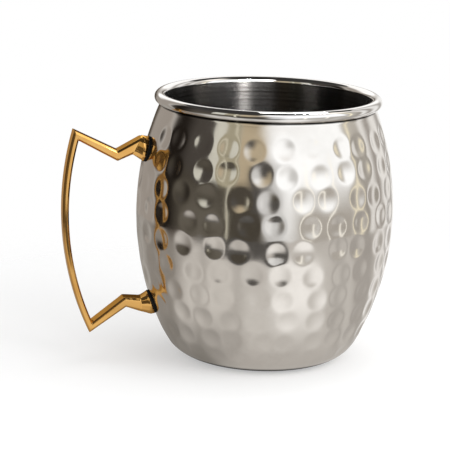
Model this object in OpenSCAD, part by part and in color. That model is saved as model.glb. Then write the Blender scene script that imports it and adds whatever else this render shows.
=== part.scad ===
// Double-walled steel mug with a hammered barrel, a rolled rim and a screwed-on brass handle.
// Millimetres. The mug stands on z = 0 with its axis on Z, and the handle points along -X.

/* [Barrel] */
// Height from the table to the top of the rolled rim
mug_h = 100; // [94:0.5:112]
// Largest outside diameter, at the belly
belly_d = 96.4; // [92:0.2:104]
// Height of the belly above the table
belly_z = 55.5; // [50:0.5:60]
// Radius of the side's bow above the belly
upper_bow_r = 104; // [92:1:130]
// Radius of the side's bow below the belly
lower_bow_r = 103; // [96:1:130]
// Radius where the side turns under into the base
base_corner_r = 15.5; // [12:0.5:19]
// Thickness of the outer shell
shell_t = 1; // [0.8:0.1:1.3]
// Straight neck that shows under the rolled rim
neck_h = 0.8; // [0.4:0.1:2]
// Width of the flat ring that the mug stands on
foot_ring_w = 4; // [3:0.5:7]
// Thickness of the plate that closes the base
base_plate_t = 1; // [0.6:0.1:1.6]

/* [Liner] */
// Tube radius of the rolled rim
rim_roll_r = 2; // [1.7:0.1:2.4]
// Thickness of the liner
liner_t = 0.6; // [0.4:0.05:0.8]
// Room between the liner's wall and the head of the lower screw
screw_room = 0.7; // [0.4:0.1:1.6]
// Height of the liner's floor above the base plate
liner_floor_gap = 4; // [3:0.5:8]
// Inside radius between the liner's wall and floor
liner_corner_r = 12; // [9:0.5:15]

/* [Hammered dents] */
// Radius of the ball that strikes the dents
hammer_r = 18; // [16:1:28]
// Depth of a dent
dent_depth = 0.55; // [0.3:0.05:0.6]
// Dents round the barrel in each row
dents_per_row = 26; // [20:1:27]
// Rows of dents
dent_rows = 10; // [4:1:10]
// Distance from row to row along the side
dent_pitch = 9.2; // [9:0.1:9.6]
// Distance from the neck down to the top row, along the side
dent_start = 9; // [6:0.5:10]

/* [Handle] */
// Height of the lower foot's centre on the side
lower_foot_z = 21.1; // [20:0.1:28]
// Distance of the upper foot's centre below the top of the rim
upper_foot_drop = 20.6; // [16:0.1:26]
// Diameter of the lower foot
lower_foot_d = 9.2; // [8.6:0.1:11]
// Diameter of the upper foot
upper_foot_d = 9.6; // [9:0.1:11]
// Room from the belly to the middle of the grip
finger_room = 27.3; // [24:0.1:36]
// Radius of the grip's bow
grip_bow_r = 108; // [95:1:160]
// How far the grip's widest point lies above its middle
grip_bow_rise = 9; // [4:0.1:14]
// Width of the bar
bar_w = 6.6; // [6:0.1:7.4]
// Thickness of the bar at its dip and its knee
bar_t = 3.4; // [3:0.1:3.8]
// Thickness of the bar at its top and bottom corner
corner_t = 2.6; // [2.4:0.1:3]
// Thickness of the bar at the middle of the grip
grip_t = 2.3; // [2:0.1:2.8]
// Width of the bevel on the bar's edges
bar_bevel = 0.7; // [0.5:0.1:0.9]
// Height of the top corner above the upper foot
top_corner_rise = 5.6; // [3:0.1:8]
// Depth of the bottom corner below the lower foot
bottom_corner_drop = 8.9; // [5:0.1:10]
// Distance from the upper foot out to the dip in the top arm
dip_reach = 10.7; // [10:0.1:13]
// Depth of that dip below the upper foot
dip_drop = 2.2; // [1:0.1:4]
// Distance from the lower foot out to the knee in the bottom arm
knee_reach = 10; // [9:0.1:12]
// Height of that knee above the lower foot
knee_rise = 0.7; // [-1:0.1:2]

/* [Fixings] */
// Thickness of the gaskets between the feet and the shell
gasket_t = 0.5; // [0.4:0.1:1.2]
// Thickness of the washers inside the shell
washer_t = 1.2; // [0.9:0.1:1.4]
// Diameter of the washers
washer_d = 9; // [8:0.2:10]
// Diameter of the screws
screw_d = 3; // [2.5:0.1:3.5]
// Diameter of the screw heads
screw_head_d = 6; // [5.4:0.1:7]
// Height of the screw heads
screw_head_h = 2.2; // [1.8:0.1:2.4]
// Length of thread inside each foot
thread_len = 3; // [2.4:0.1:3.4]

/* [Hidden] */
$fn = 96;
barrel_sides = 256;

// Clearances: a rolled or seated joint, a thread, a screw's hole, and the end of a tapped hole
seat_gap = 0.05;
thread_gap = 0.05;
hole_gap = 0.3;
tap_end_gap = 0.4;

// Overlap that joins stacked stretches of one outline
lap = 1;
neck_lap = 0.3;

// Barrel outline: two bows that share a tangent at the belly, then the base corner
belly_r = belly_d / 2;
upper_c = [belly_r - upper_bow_r, belly_z];
lower_c = [belly_r - lower_bow_r, belly_z];
corner_c = [lower_c[0] + sqrt(pow(lower_bow_r - base_corner_r, 2) - pow(belly_z - base_corner_r, 2)),
            base_corner_r];
corner_dir = (corner_c - lower_c) / norm(corner_c - lower_c);
neck_z = mug_h - 2 * rim_roll_r - neck_h;
neck_r = bow_r(neck_z, 0);
neck_inner_r = bow_r(neck_z - neck_lap, shell_t);

// Rolled rim, centred over the neck's outer face
rim_c = [neck_r, mug_h - rim_roll_r];

// Base: a ring to stand on, and the plate that lies on it inside
foot_ring_r = corner_c[0] - foot_ring_w;
base_plate_r = corner_c[0] - 2 * seat_gap;
base_plate_top = shell_t + base_plate_t;

// Feet: [centre on the shell's outer face, lean of the face's normal above level, radius]
upper_foot = foot_on_shell(mug_h - upper_foot_drop, upper_foot_d / 2);
lower_foot = foot_on_shell(lower_foot_z, lower_foot_d / 2);
screw_seat = shell_t + washer_t;
slot_w = screw_head_d / 7;
slot_depth = screw_head_h / 2;

// Liner: its wall runs off the rim's roll and tapers, in degrees, to pass the edge of the lower screw's
// head, and ends in a round corner and a flat floor
head_edge = off_foot(lower_foot, -screw_seat - screw_head_h) - screw_head_d / 2 * along(lower_foot[1] + 90);
to_head = head_edge - rim_c;
liner_taper = -acos((screw_room + liner_t - rim_roll_r) / norm(to_head)) - atan2(to_head[1], to_head[0]);
wall_out = [cos(liner_taper), -sin(liner_taper)];
wall_down = [-sin(liner_taper), -cos(liner_taper)];
wall_top = rim_c - rim_roll_r * wall_out;
cup_top_z = wall_top[1] + wall_top[0] * tan(liner_taper);
liner_floor_z = base_plate_top + liner_floor_gap + liner_t;
liner_floor_r = wall_top[0] - (wall_top[1] - liner_floor_z) * tan(liner_taper);
liner_corner_c = [liner_floor_r + liner_corner_r * (tan(liner_taper) - 1 / cos(liner_taper)),
                  liner_floor_z + liner_corner_r];

// Dents: each row starts at its own turn, and single dents wander as hand work does
row_turn = [266, 254, 259, 263, 262, 252, 268, 256, 257, 260];
dent_wander = 1.5;
dent_drift = 0.6;
wander_step = [97, 211];
drift_step = [157, 83];
dent_r = sqrt(2 * dent_depth / (1 / hammer_r + 1 / max(upper_bow_r, lower_bow_r)));
plug_margin = 0.15;
plug_r = dent_r + plug_margin;
plug_h = 0.6;
dent_top = arc_len(neck_z) - dent_start;

// Handle's middle line, as [distance from the mug's axis, height]
half_t = bar_t / 2;
half_w = bar_w / 2;
bevel_share = 0.45;
bevel = min(bar_bevel, bevel_share * min(bar_t, corner_t, grip_t));
upper_root = off_foot(upper_foot, gasket_t);
lower_root = off_foot(lower_foot, gasket_t);
dip = upper_root + [dip_reach, -dip_drop];
knee = lower_root + [knee_reach, knee_rise];
top_z = upper_foot[0][1] + top_corner_rise;
bottom_z = lower_foot[0][1] - bottom_corner_drop;
grip_c = [belly_r + finger_room - grip_bow_r, (top_z + bottom_z) / 2 + grip_bow_rise];
top_turn = asin((top_z - grip_c[1]) / grip_bow_r);
bottom_turn = asin((bottom_z - grip_c[1]) / grip_bow_r);
top_corner = grip_c + grip_bow_r * along(top_turn);
bottom_corner = grip_c + grip_bow_r * along(bottom_turn);

// Feet of the handle, from the middle of each face: how far the rim stands off the face at the top and at
// the bottom, then where the bar's upper and lower side run in, as [distance out, height]
upper_rim = [2.5, 0.3];
lower_rim = [0.6, 1.5];
rim_share = 0.96;
upper_join = [[1.9, 4.6], [5.2, -1.7]];
lower_join = [[4.1, 2.1], [4, -3]];

// Headings of the handle's straight runs, from the lower foot round to the upper one
knee_in = heading(lower_root + (lower_join[0] + lower_join[1]) / 2, knee);
knee_out = heading(knee, bottom_corner);
dip_in = heading(top_corner, dip) + 360;
dip_out = heading(dip, upper_root + (upper_join[0] + upper_join[1]) / 2);

// Stretches of the grip, and sides of a quarter of the bar's section
grip_steps = 10;
quarter_sides = 6;
ring_sides = 4 * quarter_sides;

// Radius of the barrel at height z, measured inset below the outer face
function bow_r(z, inset) =
    let (above = z > belly_z, c = above ? upper_c : lower_c)
    let (r = (above ? upper_bow_r : lower_bow_r) - inset)
    c[0] + sqrt(r * r - pow(z - c[1], 2));

// Lean of the outer face's normal above level at height z
function lean(z) = asin((z - belly_z) / (z > belly_z ? upper_bow_r : lower_bow_r));

// Length along the side from the belly up to height z, and the height at a length
function arc_len(z) = lean(z) * PI / 180 * (z > belly_z ? upper_bow_r : lower_bow_r);
function arc_z(s) =
    let (r = s > 0 ? upper_bow_r : lower_bow_r)
    belly_z + r * sin(s / r * 180 / PI);

function along(a) = [cos(a), sin(a)];
function heading(from, to) = atan2(to[1] - from[1], to[0] - from[0]);
function mix(a, b, f) = a + (b - a) * f;

function foot_on_shell(z, r) = [[bow_r(z, 0), z], lean(z), r];
function foot_centre(foot) = [-foot[0][0], 0, foot[0][1]];
function off_foot(foot, out) = foot[0] + out * along(foot[1]);

// A ring of the bar: [centre, heading, half thickness, half width, roundness from 0 to 1, stretch].
// This one stands where two straight runs of the bar meet
function mitre(centre, before, after, t) =
    [centre, (before + after) / 2, t / 2, half_w, 0, 1 / cos((after - before) / 2)];

// A ring between two points of the handle's outline, the one on the bar's right first
function span(right, left, t, w, roundness) =
    [(right + left) / 2, heading(right, left) - 90, t, w, roundness, norm(left - right) / (2 * t)];

// Rings of a foot, going out: its round face, its rim and the bar's end, as spans of [top, bottom, ...]
function foot_spans(foot, root, rim, join) =
    let (out = along(foot[1]), up = along(foot[1] + 90), face_r = foot[2], rim_r = rim_share * foot[2])
    [[root + face_r * up, root - face_r * up, face_r, face_r, 1],
     [root + rim[0] * out + rim_r * up, root + rim[1] * out - rim_r * up, rim_r, rim_r, 1],
     [root + join[0], root + join[1], half_t, half_w, 0]];

function grip_ring(f) =
    let (a = mix(bottom_turn, top_turn, f), t = mix(corner_t, grip_t, sin(180 * f)))
    [grip_c + grip_bow_r * along(a), a + 90, t / 2, half_w, 0, 1];

function reversed(list) = [for (i = [len(list) - 1 : -1 : 0]) list[i]];

bar_rings = concat(
    [for (s = foot_spans(lower_foot, lower_root, lower_rim, lower_join)) span(s[1], s[0], s[2], s[3], s[4])],
    [mitre(knee, knee_in, knee_out, bar_t), mitre(bottom_corner, knee_out, bottom_turn + 90, corner_t)],
    [for (i = [1 : grip_steps - 1]) grip_ring(i / grip_steps)],
    [mitre(top_corner, top_turn + 90, dip_in, corner_t), mitre(dip, dip_in, dip_out, bar_t)],
    [for (s = reversed(foot_spans(upper_foot, upper_root, upper_rim, upper_join)))
        span(s[0], s[1], s[2], s[3], s[4])]);

// One quarter of the bevelled section, from the middle of the face to the middle of the edge
function quarter(t, w) =
    let (flat = w - bevel, edge = t - bevel)
    [[t, 0], [t, flat / 2], [t, flat], [t - bevel / 2, w - bevel / 2],
     [edge, w], [edge / 2, w], [0, w]];

function section_point(ring, k) =
    let (q = floor(k / quarter_sides), i = k % quarter_sides)
    let (p = quarter(ring[2], ring[3])[q % 2 == 0 ? i : quarter_sides - i])
    let (bar = [(q == 0 || q == 3 ? 1 : -1) * p[0], (q < 2 ? 1 : -1) * p[1]])
    let (a = 360 * k / ring_sides)
    let (disc = [ring[2] * cos(a), ring[3] * sin(a)])
    mix(bar, disc, ring[4]);

function ring_point(ring, k) =
    let (p = section_point(ring, k), c = ring[0] + ring[5] * p[0] * along(ring[1] + 90))
    [-c[0], p[1], c[1]];

module barrel_section(inset) {
    tangent_z = lower_c[1] + (lower_bow_r - inset) * corner_dir[1];
    intersection() {
        upper_bow(inset);
        translate([0, belly_z]) square([2 * belly_r, neck_z - belly_z]);
    }
    intersection() {
        lower_bow(inset);
        translate([0, tangent_z]) square([2 * belly_r, belly_z - tangent_z]);
    }
    intersection() {
        upper_bow(inset);
        lower_bow(inset);
        translate([0, belly_z - lap]) square([2 * belly_r, 2 * lap]);
    }
    translate([0, inset]) square([corner_c[0], tangent_z - inset + lap]);
    intersection() {
        translate(corner_c) circle(r = base_corner_r - inset);
        translate([corner_c[0], inset]) square([base_corner_r, tangent_z - inset + lap]);
    }
}

module upper_bow(inset) {
    translate(upper_c) circle(r = upper_bow_r - inset, $fn = barrel_sides);
}

module lower_bow(inset) {
    translate(lower_c) circle(r = lower_bow_r - inset, $fn = barrel_sides);
}

module barrel(inset) {
    rotate_extrude($fn = barrel_sides) barrel_section(inset);
}

// Puts children on a foot's axis, with z = 0 on the shell's outer face and +z pointing out
module at_foot(foot) {
    translate(foot_centre(foot))
        rotate([0, foot[1] - 90, 0])
            children();
}

// A round plug from one height on a foot's axis to another
module foot_plug(d, from, to) {
    translate([0, 0, from]) cylinder(d = d, h = to - from);
}

module screw_hole() {
    foot_plug(screw_d + 2 * hole_gap, -2 * screw_seat, 2 * gasket_t);
}

// The ball end that strikes a dent, cut to the size of its mark
module dent_ball() {
    rotate_extrude()
        intersection() {
            translate([0, hammer_r - dent_depth]) circle(r = hammer_r, $fn = barrel_sides);
            translate([0, -dent_depth]) square([plug_r, dent_depth + plug_h]);
        }
}

// Rows of dents, left out where a foot sits
module dents() {
    for (row = [0 : dent_rows - 1], i = [0 : dents_per_row - 1]) {
        wander = dent_wander * sin(wander_step * [row, i]);
        turn = row_turn[row % len(row_turn)] + wander + 360 * i / dents_per_row;
        drift = dent_drift * sin(drift_step * [row, i]);
        z = arc_z(dent_top - dent_pitch * row + drift);
        spot = [bow_r(z, 0) * cos(turn), bow_r(z, 0) * sin(turn), z];
        if (clear_of_foot(spot, upper_foot) && clear_of_foot(spot, lower_foot))
            translate(spot)
                rotate([0, 90 - lean(z), turn])
                    dent_ball();
    }
}

function clear_of_foot(spot, foot) =
    norm(spot - foot_centre(foot)) > foot[2] + plug_r + seat_gap;

module outer_shell() {
    color("silver")
        difference() {
            rotate_extrude($fn = barrel_sides) {
                difference() {
                    barrel_section(0);
                    barrel_section(shell_t);
                    square([foot_ring_r, 2 * shell_t]);
                }
                translate([neck_inner_r, neck_z - neck_lap])
                    square([neck_r - neck_inner_r, rim_c[1] - neck_z + neck_lap]);
            }
            dents();
            at_foot(upper_foot) screw_hole();
            at_foot(lower_foot) screw_hole();
        }
}

// Outline of the liner's cup, grown outwards from its inner face and closed at a height on the axis
module liner_cup(grow, top) {
    corner_r = liner_corner_r + grow;
    polygon([[0, liner_floor_z - grow],
             [liner_corner_c[0], liner_floor_z - grow],
             liner_corner_c,
             liner_corner_c + corner_r * wall_out,
             wall_top + grow * wall_out,
             [0, top]]);
    translate(liner_corner_c) circle(r = corner_r);
}

// The rolled lip: a tube cut open where the wall runs off it and where the neck enters
module rim_roll() {
    reach = 2 * rim_roll_r;
    mouth_r = neck_r + seat_gap;
    difference() {
        translate(rim_c) circle(r = rim_roll_r);
        translate(rim_c) circle(r = rim_roll_r - liner_t);
        polygon([rim_c,
                 rim_c - reach * wall_out,
                 rim_c - reach * wall_out + reach * wall_down,
                 [mouth_r, rim_c[1] - reach],
                 [mouth_r, rim_c[1]]]);
    }
}

module inner_liner() {
    color("gainsboro")
        rotate_extrude() {
            difference() {
                liner_cup(liner_t, cup_top_z);
                liner_cup(0, cup_top_z + lap);
            }
            rim_roll();
        }
}

module base_plate() {
    color("lightgray")
        translate([0, 0, shell_t])
            cylinder(r = base_plate_r, h = base_plate_t);
}

module tapped_hole() {
    foot_plug(screw_d + 2 * thread_gap, 0, gasket_t + thread_len + tap_end_gap);
}

module bar() {
    last = len(bar_rings) - 1;
    points = [for (ring = bar_rings, k = [0 : ring_sides - 1]) ring_point(ring, k)];
    start_face = [for (k = [0 : ring_sides - 1]) k];
    end_face = [for (k = [ring_sides - 1 : -1 : 0]) last * ring_sides + k];
    side_faces = [for (i = [0 : last - 1], k = [0 : ring_sides - 1], half = [0, 1])
        let (a = i * ring_sides, b = a + ring_sides, next = (k + 1) % ring_sides)
        half == 0 ? [a + k, b + next, a + next] : [a + k, b + k, b + next]];
    polyhedron(points, concat([start_face], side_faces, [end_face]));
}

module handle() {
    color("goldenrod")
        difference() {
            bar();
            at_foot(upper_foot) tapped_hole();
            at_foot(lower_foot) tapped_hole();
        }
}

// The barrel's side at a foot, as a round bar that leans with it
module foot_seat(foot) {
    seat_r = foot[0][0] / cos(foot[1]) + seat_gap;
    translate([0, 0, seat_gap - seat_r])
        rotate([0, 90, 0])
            cylinder(r = seat_r, h = 4 * foot[2], center = true, $fn = barrel_sides);
}

module gasket(foot) {
    color("black")
        at_foot(foot)
            difference() {
                foot_plug(2 * foot[2], -gasket_t, gasket_t);
                foot_seat(foot);
                screw_hole();
            }
}

module washer(foot) {
    color("gray")
        difference() {
            intersection() {
                at_foot(foot) foot_plug(washer_d, -screw_seat, 0);
                barrel(shell_t + seat_gap);
            }
            at_foot(foot) screw_hole();
        }
}

module screw(foot) {
    color("dimgray")
        at_foot(foot)
            difference() {
                union() {
                    foot_plug(screw_d, -screw_seat - lap, gasket_t + thread_len);
                    foot_plug(screw_head_d, -screw_seat - screw_head_h, -screw_seat);
                }
                for (turn = [0, 90])
                    rotate([0, 0, turn])
                        translate([0, 0, -screw_seat - screw_head_h])
                            cube([screw_head_d / 2, slot_w, 2 * slot_depth], center = true);
            }
}

module upper_gasket() { gasket(upper_foot); }
module lower_gasket() { gasket(lower_foot); }
module upper_washer() { washer(upper_foot); }
module lower_washer() { washer(lower_foot); }
module upper_screw() { screw(upper_foot); }
module lower_screw() { screw(lower_foot); }

outer_shell();
inner_liner();
base_plate();
handle();
upper_gasket();
lower_gasket();
upper_washer();
lower_washer();
upper_screw();
lower_screw();
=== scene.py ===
"""Dressed model of a hammered, double-walled steel mug with a screwed-on brass handle.

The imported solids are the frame. The shell, the liner and the handle are modelled again here as fine
meshes on the same outlines, every piece gets a node-based finish, and a small studio stands round
the mug. Lengths in the classes are millimetres, and a mesh is brought to metres when it is made.
"""
import logging
import math
from dataclasses import dataclass, field, replace
from enum import Enum
from typing import Iterator, Optional, Union

import bmesh
import bpy
import numpy as np
from mathutils import Matrix, Vector


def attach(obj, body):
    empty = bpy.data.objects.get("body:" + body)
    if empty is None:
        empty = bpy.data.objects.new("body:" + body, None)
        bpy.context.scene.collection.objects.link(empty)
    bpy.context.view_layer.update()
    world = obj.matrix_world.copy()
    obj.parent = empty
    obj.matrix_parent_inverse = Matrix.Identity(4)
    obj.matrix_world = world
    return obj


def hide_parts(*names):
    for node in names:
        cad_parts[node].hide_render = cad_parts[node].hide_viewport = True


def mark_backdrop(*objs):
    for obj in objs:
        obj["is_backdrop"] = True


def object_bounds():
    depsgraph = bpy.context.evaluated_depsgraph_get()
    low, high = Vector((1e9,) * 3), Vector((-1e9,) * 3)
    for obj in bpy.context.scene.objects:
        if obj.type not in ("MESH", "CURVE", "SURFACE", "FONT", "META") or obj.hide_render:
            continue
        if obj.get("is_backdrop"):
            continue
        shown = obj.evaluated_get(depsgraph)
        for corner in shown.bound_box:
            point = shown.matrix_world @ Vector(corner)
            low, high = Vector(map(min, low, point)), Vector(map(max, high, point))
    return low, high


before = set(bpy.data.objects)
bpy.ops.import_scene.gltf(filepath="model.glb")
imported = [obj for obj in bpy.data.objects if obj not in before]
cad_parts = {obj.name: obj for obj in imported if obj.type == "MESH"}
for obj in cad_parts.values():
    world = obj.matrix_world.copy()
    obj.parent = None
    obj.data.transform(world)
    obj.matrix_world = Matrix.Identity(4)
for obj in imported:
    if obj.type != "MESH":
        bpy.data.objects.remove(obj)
CAD_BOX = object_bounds()

LOG = logging.getLogger("mug")
MM = 0.001
BODY = "root"
BAKE_MAP = "OFBake"
# Dark colour for the scored lines of the grain, and for the painted shade in the crevice under the rim.
SCORE_AND_SHADE_DARK = (0.02, 0.018, 0.016)

# The Mix node's sockets for its share and its two colours, and its output for the mixed colour.
MIX_SHARE, MIX_FIRST, MIX_SECOND, MIX_RESULT = 0, 6, 7, 2

# A modelled piece's UV map: its rings lie below, and its two end caps in the strip above them.
RINGS_SHARE = 0.9
CAP_R = 0.04
CAP_CENTRES = ((0.25, 0.95), (0.75, 0.95))

# Edges that a panel has out of sight: under and over every backdrop, and past its seam at the back.
UNDER, OVER = -50.0, 600.0
PAST_LEFT, PAST_RIGHT = -300.0, 300.0

Colour = tuple[float, float, float]
Place = tuple[float, float, float]
Scale = tuple[float, float, float]
Point = tuple[float, float]
Given = Union["Value", float, tuple]


class Slot(Enum):
    """Material slots of the record."""

    SHELL = "hammered_steel"
    LINER = "liner_steel"
    BRASS = "brass"
    RUBBER = "gasket_rubber"
    FIXING = "fixing_steel"


class Measure(Enum):
    """What a place on a backdrop is counted in, besides its azimuth."""

    HEIGHT = "height"
    RADIUS = "radius"


class Value:
    """A node's output that takes part in Python expressions, each of which adds a Math node."""

    def __init__(self, graph: "Graph", socket: bpy.types.NodeSocket) -> None:
        """Wrap one output socket of a graph."""
        self.graph = graph
        self.socket = socket

    def _math(self, operation: str, first: Given, second: Given) -> "Value":
        """Add a Math node for one operation on two values."""
        return self.graph.add("ShaderNodeMath", {"operation": operation}, {0: first, 1: second})

    def __add__(self, other: Given) -> "Value":
        """Add a value or a number."""
        return self._math("ADD", self, other)

    __radd__ = __add__

    def __sub__(self, other: Given) -> "Value":
        """Take a value or a number away."""
        return self._math("SUBTRACT", self, other)

    def __rsub__(self, other: float) -> "Value":
        """Take this value away from a number."""
        return self._math("SUBTRACT", other, self)

    def __mul__(self, other: Given) -> "Value":
        """Multiply by a value or a number."""
        return self._math("MULTIPLY", self, other)

    __rmul__ = __mul__

    def at_most(self, other: Given) -> "Value":
        """Limit this value from above."""
        return self._math("MINIMUM", self, other)

    def eased(self, low: float, high: float) -> "Value":
        """Turn this value into a smooth step from 0 at low to 1 at high."""
        sockets = {"Value": self, "From Min": low, "From Max": high}
        return self.graph.add("ShaderNodeMapRange", {"interpolation_type": "SMOOTHSTEP"}, sockets)


class Graph:
    """The node tree of a material or of the world."""

    def __init__(self, tree: bpy.types.NodeTree) -> None:
        """Take over a node tree and empty it."""
        self.tree = tree
        tree.nodes.clear()

    def add(
        self,
        kind: str,
        settings: Optional[dict[str, object]] = None,
        sockets: Optional[dict[Union[str, int], Given]] = None,
        output: Union[str, int] = 0,
    ) -> Value:
        """Add one node.

        Args:
            kind: The node's type.
            settings: Properties of the node, set first.
            sockets: Values or links of the inputs, by name or number.
            output: The output that is returned, by name or number.

        Returns:
            The chosen output.
        """
        node = self.tree.nodes.new(kind)
        for key, setting in (settings or {}).items():
            setattr(node, key, setting)
        for key, given in (sockets or {}).items():
            if isinstance(given, Value):
                self.tree.links.new(given.socket, node.inputs[key])
            else:
                node.inputs[key].default_value = given
        return Value(self, node.outputs[output])

    def close(self, kind: str, shader: Value) -> None:
        """Send a shader to the tree's output node."""
        node = self.tree.nodes.new(kind)
        self.tree.links.new(shader.socket, node.inputs["Surface"])

    def surface(self, sockets: dict[str, Given]) -> None:
        """Close a material's tree with a Principled shader on these sockets."""
        shader = self.add("ShaderNodeBsdfPrincipled", None, sockets)
        self.close("ShaderNodeOutputMaterial", shader)

    def place(self, scale: Scale) -> Value:
        """Give the point on the object in metres, stretched by a scale for each axis."""
        point = self.add("ShaderNodeTexCoord", output="Object")
        return self.add("ShaderNodeVectorMath", {"operation": "MULTIPLY"}, {0: point, 1: scale})

    def height(self) -> Value:
        """Give the point's height on the object in metres."""
        point = self.add("ShaderNodeTexCoord", output="Object")
        return self.add("ShaderNodeSeparateXYZ", None, {0: point}, output="Z")

    def noise(self, scale: Scale, detail: float = 2.0) -> Value:
        """Give noise from 0 to 1 with so many features to the metre along each axis."""
        sockets = {"Vector": self.place(scale), "Scale": 1.0, "Detail": detail, "Roughness": 0.6}
        return self.add("ShaderNodeTexNoise", None, sockets)

    def mix(self, first: Given, second: Given, share: Given) -> Value:
        """Mix two colours.

        Args:
            first: Colour where the share is 0.
            second: Colour where the share is 1.
            share: How far the second colour covers the first.

        Returns:
            The mixed colour.
        """
        first, second = (c if isinstance(c, Value) else (*c, 1.0) for c in (first, second))
        sockets = {MIX_SHARE: share, MIX_FIRST: first, MIX_SECOND: second}
        return self.add("ShaderNodeMix", {"data_type": "RGBA"}, sockets, MIX_RESULT)

    def bump(self, height: Value, strength: float, depth: float) -> Value:
        """Turn a height from 0 to 1 into a normal, for a relief so many millimetres deep."""
        sockets = {"Height": height, "Strength": strength, "Distance": depth * MM}
        return self.add("ShaderNodeBump", None, sockets)


def new_material(name: str) -> tuple[bpy.types.Material, Graph]:
    """Make a material with an empty node tree.

    Args:
        name: Name of the material.

    Returns:
        The material and its graph.
    """
    material = bpy.data.materials.new(name)
    material.use_nodes = True
    return material, Graph(material.node_tree)


@dataclass(frozen=True)
class Metal:
    """A bare metal with a grain that runs level round the mug.

    Attributes:
        name: Name of the material.
        tone: Colour of the clean metal.
        dull_tone: Colour of its duller clouds.
        roughness: Mean roughness.
        rough_spread: How far the grain and the clouds move the roughness.
        grain: Lines of the grain to the millimetre, up the mug.
        grain_depth: Depth of the grain's relief.
        stretch: How much longer than high a line of the grain is.
        anisotropy: How far the grain smears a reflection across itself.
        edge_tint: Colour that the metal turns to where it is seen edge on.
        scoring: How far the lines of the grain darken the metal.
        cloud_size: Size of the clouds.
        seam: Heights between which painted shade darkens the metal upwards, into the crevice under the
            rim.
        cloud_edges: Where in its noise a cloud is dullest, and where the metal is clean.
        score_edges: Where in its noise a line begins to darken, and where it is darkest.
        grain_turn: Turn of the smear from the mesh's own direction, in whole turns.
        relief: Strength of the grain's relief.
        line_detail: Finer layers in the noise of the lines.
        cloud_detail: Finer layers in the noise of the clouds.
    """

    name: str
    tone: Colour
    dull_tone: Colour
    roughness: float
    rough_spread: float
    grain: float
    grain_depth: float
    stretch: float = 60.0
    anisotropy: float = 0.0
    edge_tint: Colour = (1.0, 1.0, 1.0)
    scoring: float = 0.0
    cloud_size: float = 18.0
    seam: Optional[Point] = None
    cloud_edges: Point = (0.3, 0.6)
    score_edges: Point = (0.42, 0.62)
    grain_turn: float = 0.25
    relief: float = 0.5
    line_detail: float = 3.0
    cloud_detail: float = 4.0

    def material(self) -> bpy.types.Material:
        """Make the metal's material.

        Returns:
            The material.
        """
        material, graph = new_material(self.name)
        up = self.grain / MM
        level = up / self.stretch
        lines = graph.noise((level, level, up), self.line_detail)
        cloud_scale = 1 / (self.cloud_size * MM)
        clouds = graph.noise((cloud_scale,) * 3, self.cloud_detail)
        colour = graph.mix(self.dull_tone, self.tone, clouds.eased(*self.cloud_edges))
        if self.scoring:
            colour = graph.mix(colour, SCORE_AND_SHADE_DARK, self.scoring * lines.eased(*self.score_edges))
        # Painted shade: the metal darkens upwards into the crevice under the rolled rim, where shade
        # falls.
        if self.seam:
            low, high = self.seam
            colour = graph.mix(colour, SCORE_AND_SHADE_DARK, graph.height().eased(low * MM, high * MM))
        graph.surface({
            "Base Color": colour,
            "Metallic": 1.0,
            "Roughness": self.roughness + self.rough_spread * (lines + clouds - 1.0),
            "Anisotropic": self.anisotropy,
            "Anisotropic Rotation": self.grain_turn,
            "Specular Tint": (*self.edge_tint, 1.0),
            "Normal": graph.bump(lines, self.relief, self.grain_depth),
        })
        return material


@dataclass(frozen=True)
class Rubber:
    """Matt black rubber with a fine moulded grain.

    Attributes:
        rough_spread: How far the grain moves the roughness.
        sheen: Strength of its reflections.
        grain_scale: Features of the grain to the metre.
        relief: Strength of the grain's relief.
        dust_scale: Patches of dust to the metre.
        dust_edges: Where in its noise the dust begins, and where it is thickest.
    """

    name: str = "gasket_rubber"
    tone: Colour = (0.006, 0.0055, 0.005)
    dusty_tone: Colour = (0.014, 0.013, 0.012)
    roughness: float = 0.7
    rough_spread: float = 0.2
    sheen: float = 0.25
    grain_scale: float = 4000.0
    grain_depth: float = 0.05
    relief: float = 0.3
    dust_scale: float = 300.0
    dust_edges: Point = (0.4, 0.7)

    def material(self) -> bpy.types.Material:
        """Make the rubber's material.

        Returns:
            The material.
        """
        material, graph = new_material(self.name)
        grain, dust = (graph.noise((scale,) * 3) for scale in (self.grain_scale, self.dust_scale))
        graph.surface({
            "Base Color": graph.mix(self.tone, self.dusty_tone, dust.eased(*self.dust_edges)),
            "Roughness": self.roughness + self.rough_spread * (grain - 0.5),
            "Specular IOR Level": self.sheen,
            "Normal": graph.bump(grain, self.relief, self.grain_depth),
        })
        return material


# Its seam heights paint shade on the neck, in the crevice just under the rolled rim.
HAMMERED_STEEL = Metal(
    "hammered_steel", (0.72, 0.69, 0.655), (0.66, 0.63, 0.595),
    roughness=0.12, rough_spread=0.07, grain=2.0, grain_depth=0.01, stretch=10.0, seam=(95.0, 95.6),
)
# Painted shade: spun steel toned far darker than bare steel, so that the inside of the cup reads
# shaded.
SHADE_DARKENED_SPUN_STEEL = Metal(
    "shade_darkened_spun_steel", (0.12, 0.115, 0.11), (0.10, 0.096, 0.092), roughness=0.22, rough_spread=0.08,
    grain=1.3, grain_depth=0.02, stretch=900.0, anisotropy=1.0, scoring=0.85,
)
POLISHED_STEEL = Metal(
    "polished_steel", (0.74, 0.725, 0.71), (0.70, 0.685, 0.67),
    roughness=0.05, rough_spread=0.02, grain=2.0, grain_depth=0.001,
)
POLISHED_BRASS = Metal(
    "polished_brass", (0.96, 0.56, 0.18), (0.90, 0.49, 0.14), roughness=0.08, rough_spread=0.05,
    grain=3.0, grain_depth=0.0003, edge_tint=(0.95, 0.74, 0.42), cloud_size=6.0,
)
ZINC_STEEL = Metal(
    "zinc_steel", (0.58, 0.57, 0.54), (0.46, 0.45, 0.42),
    roughness=0.32, rough_spread=0.1, grain=3.0, grain_depth=0.01,
)


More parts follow.
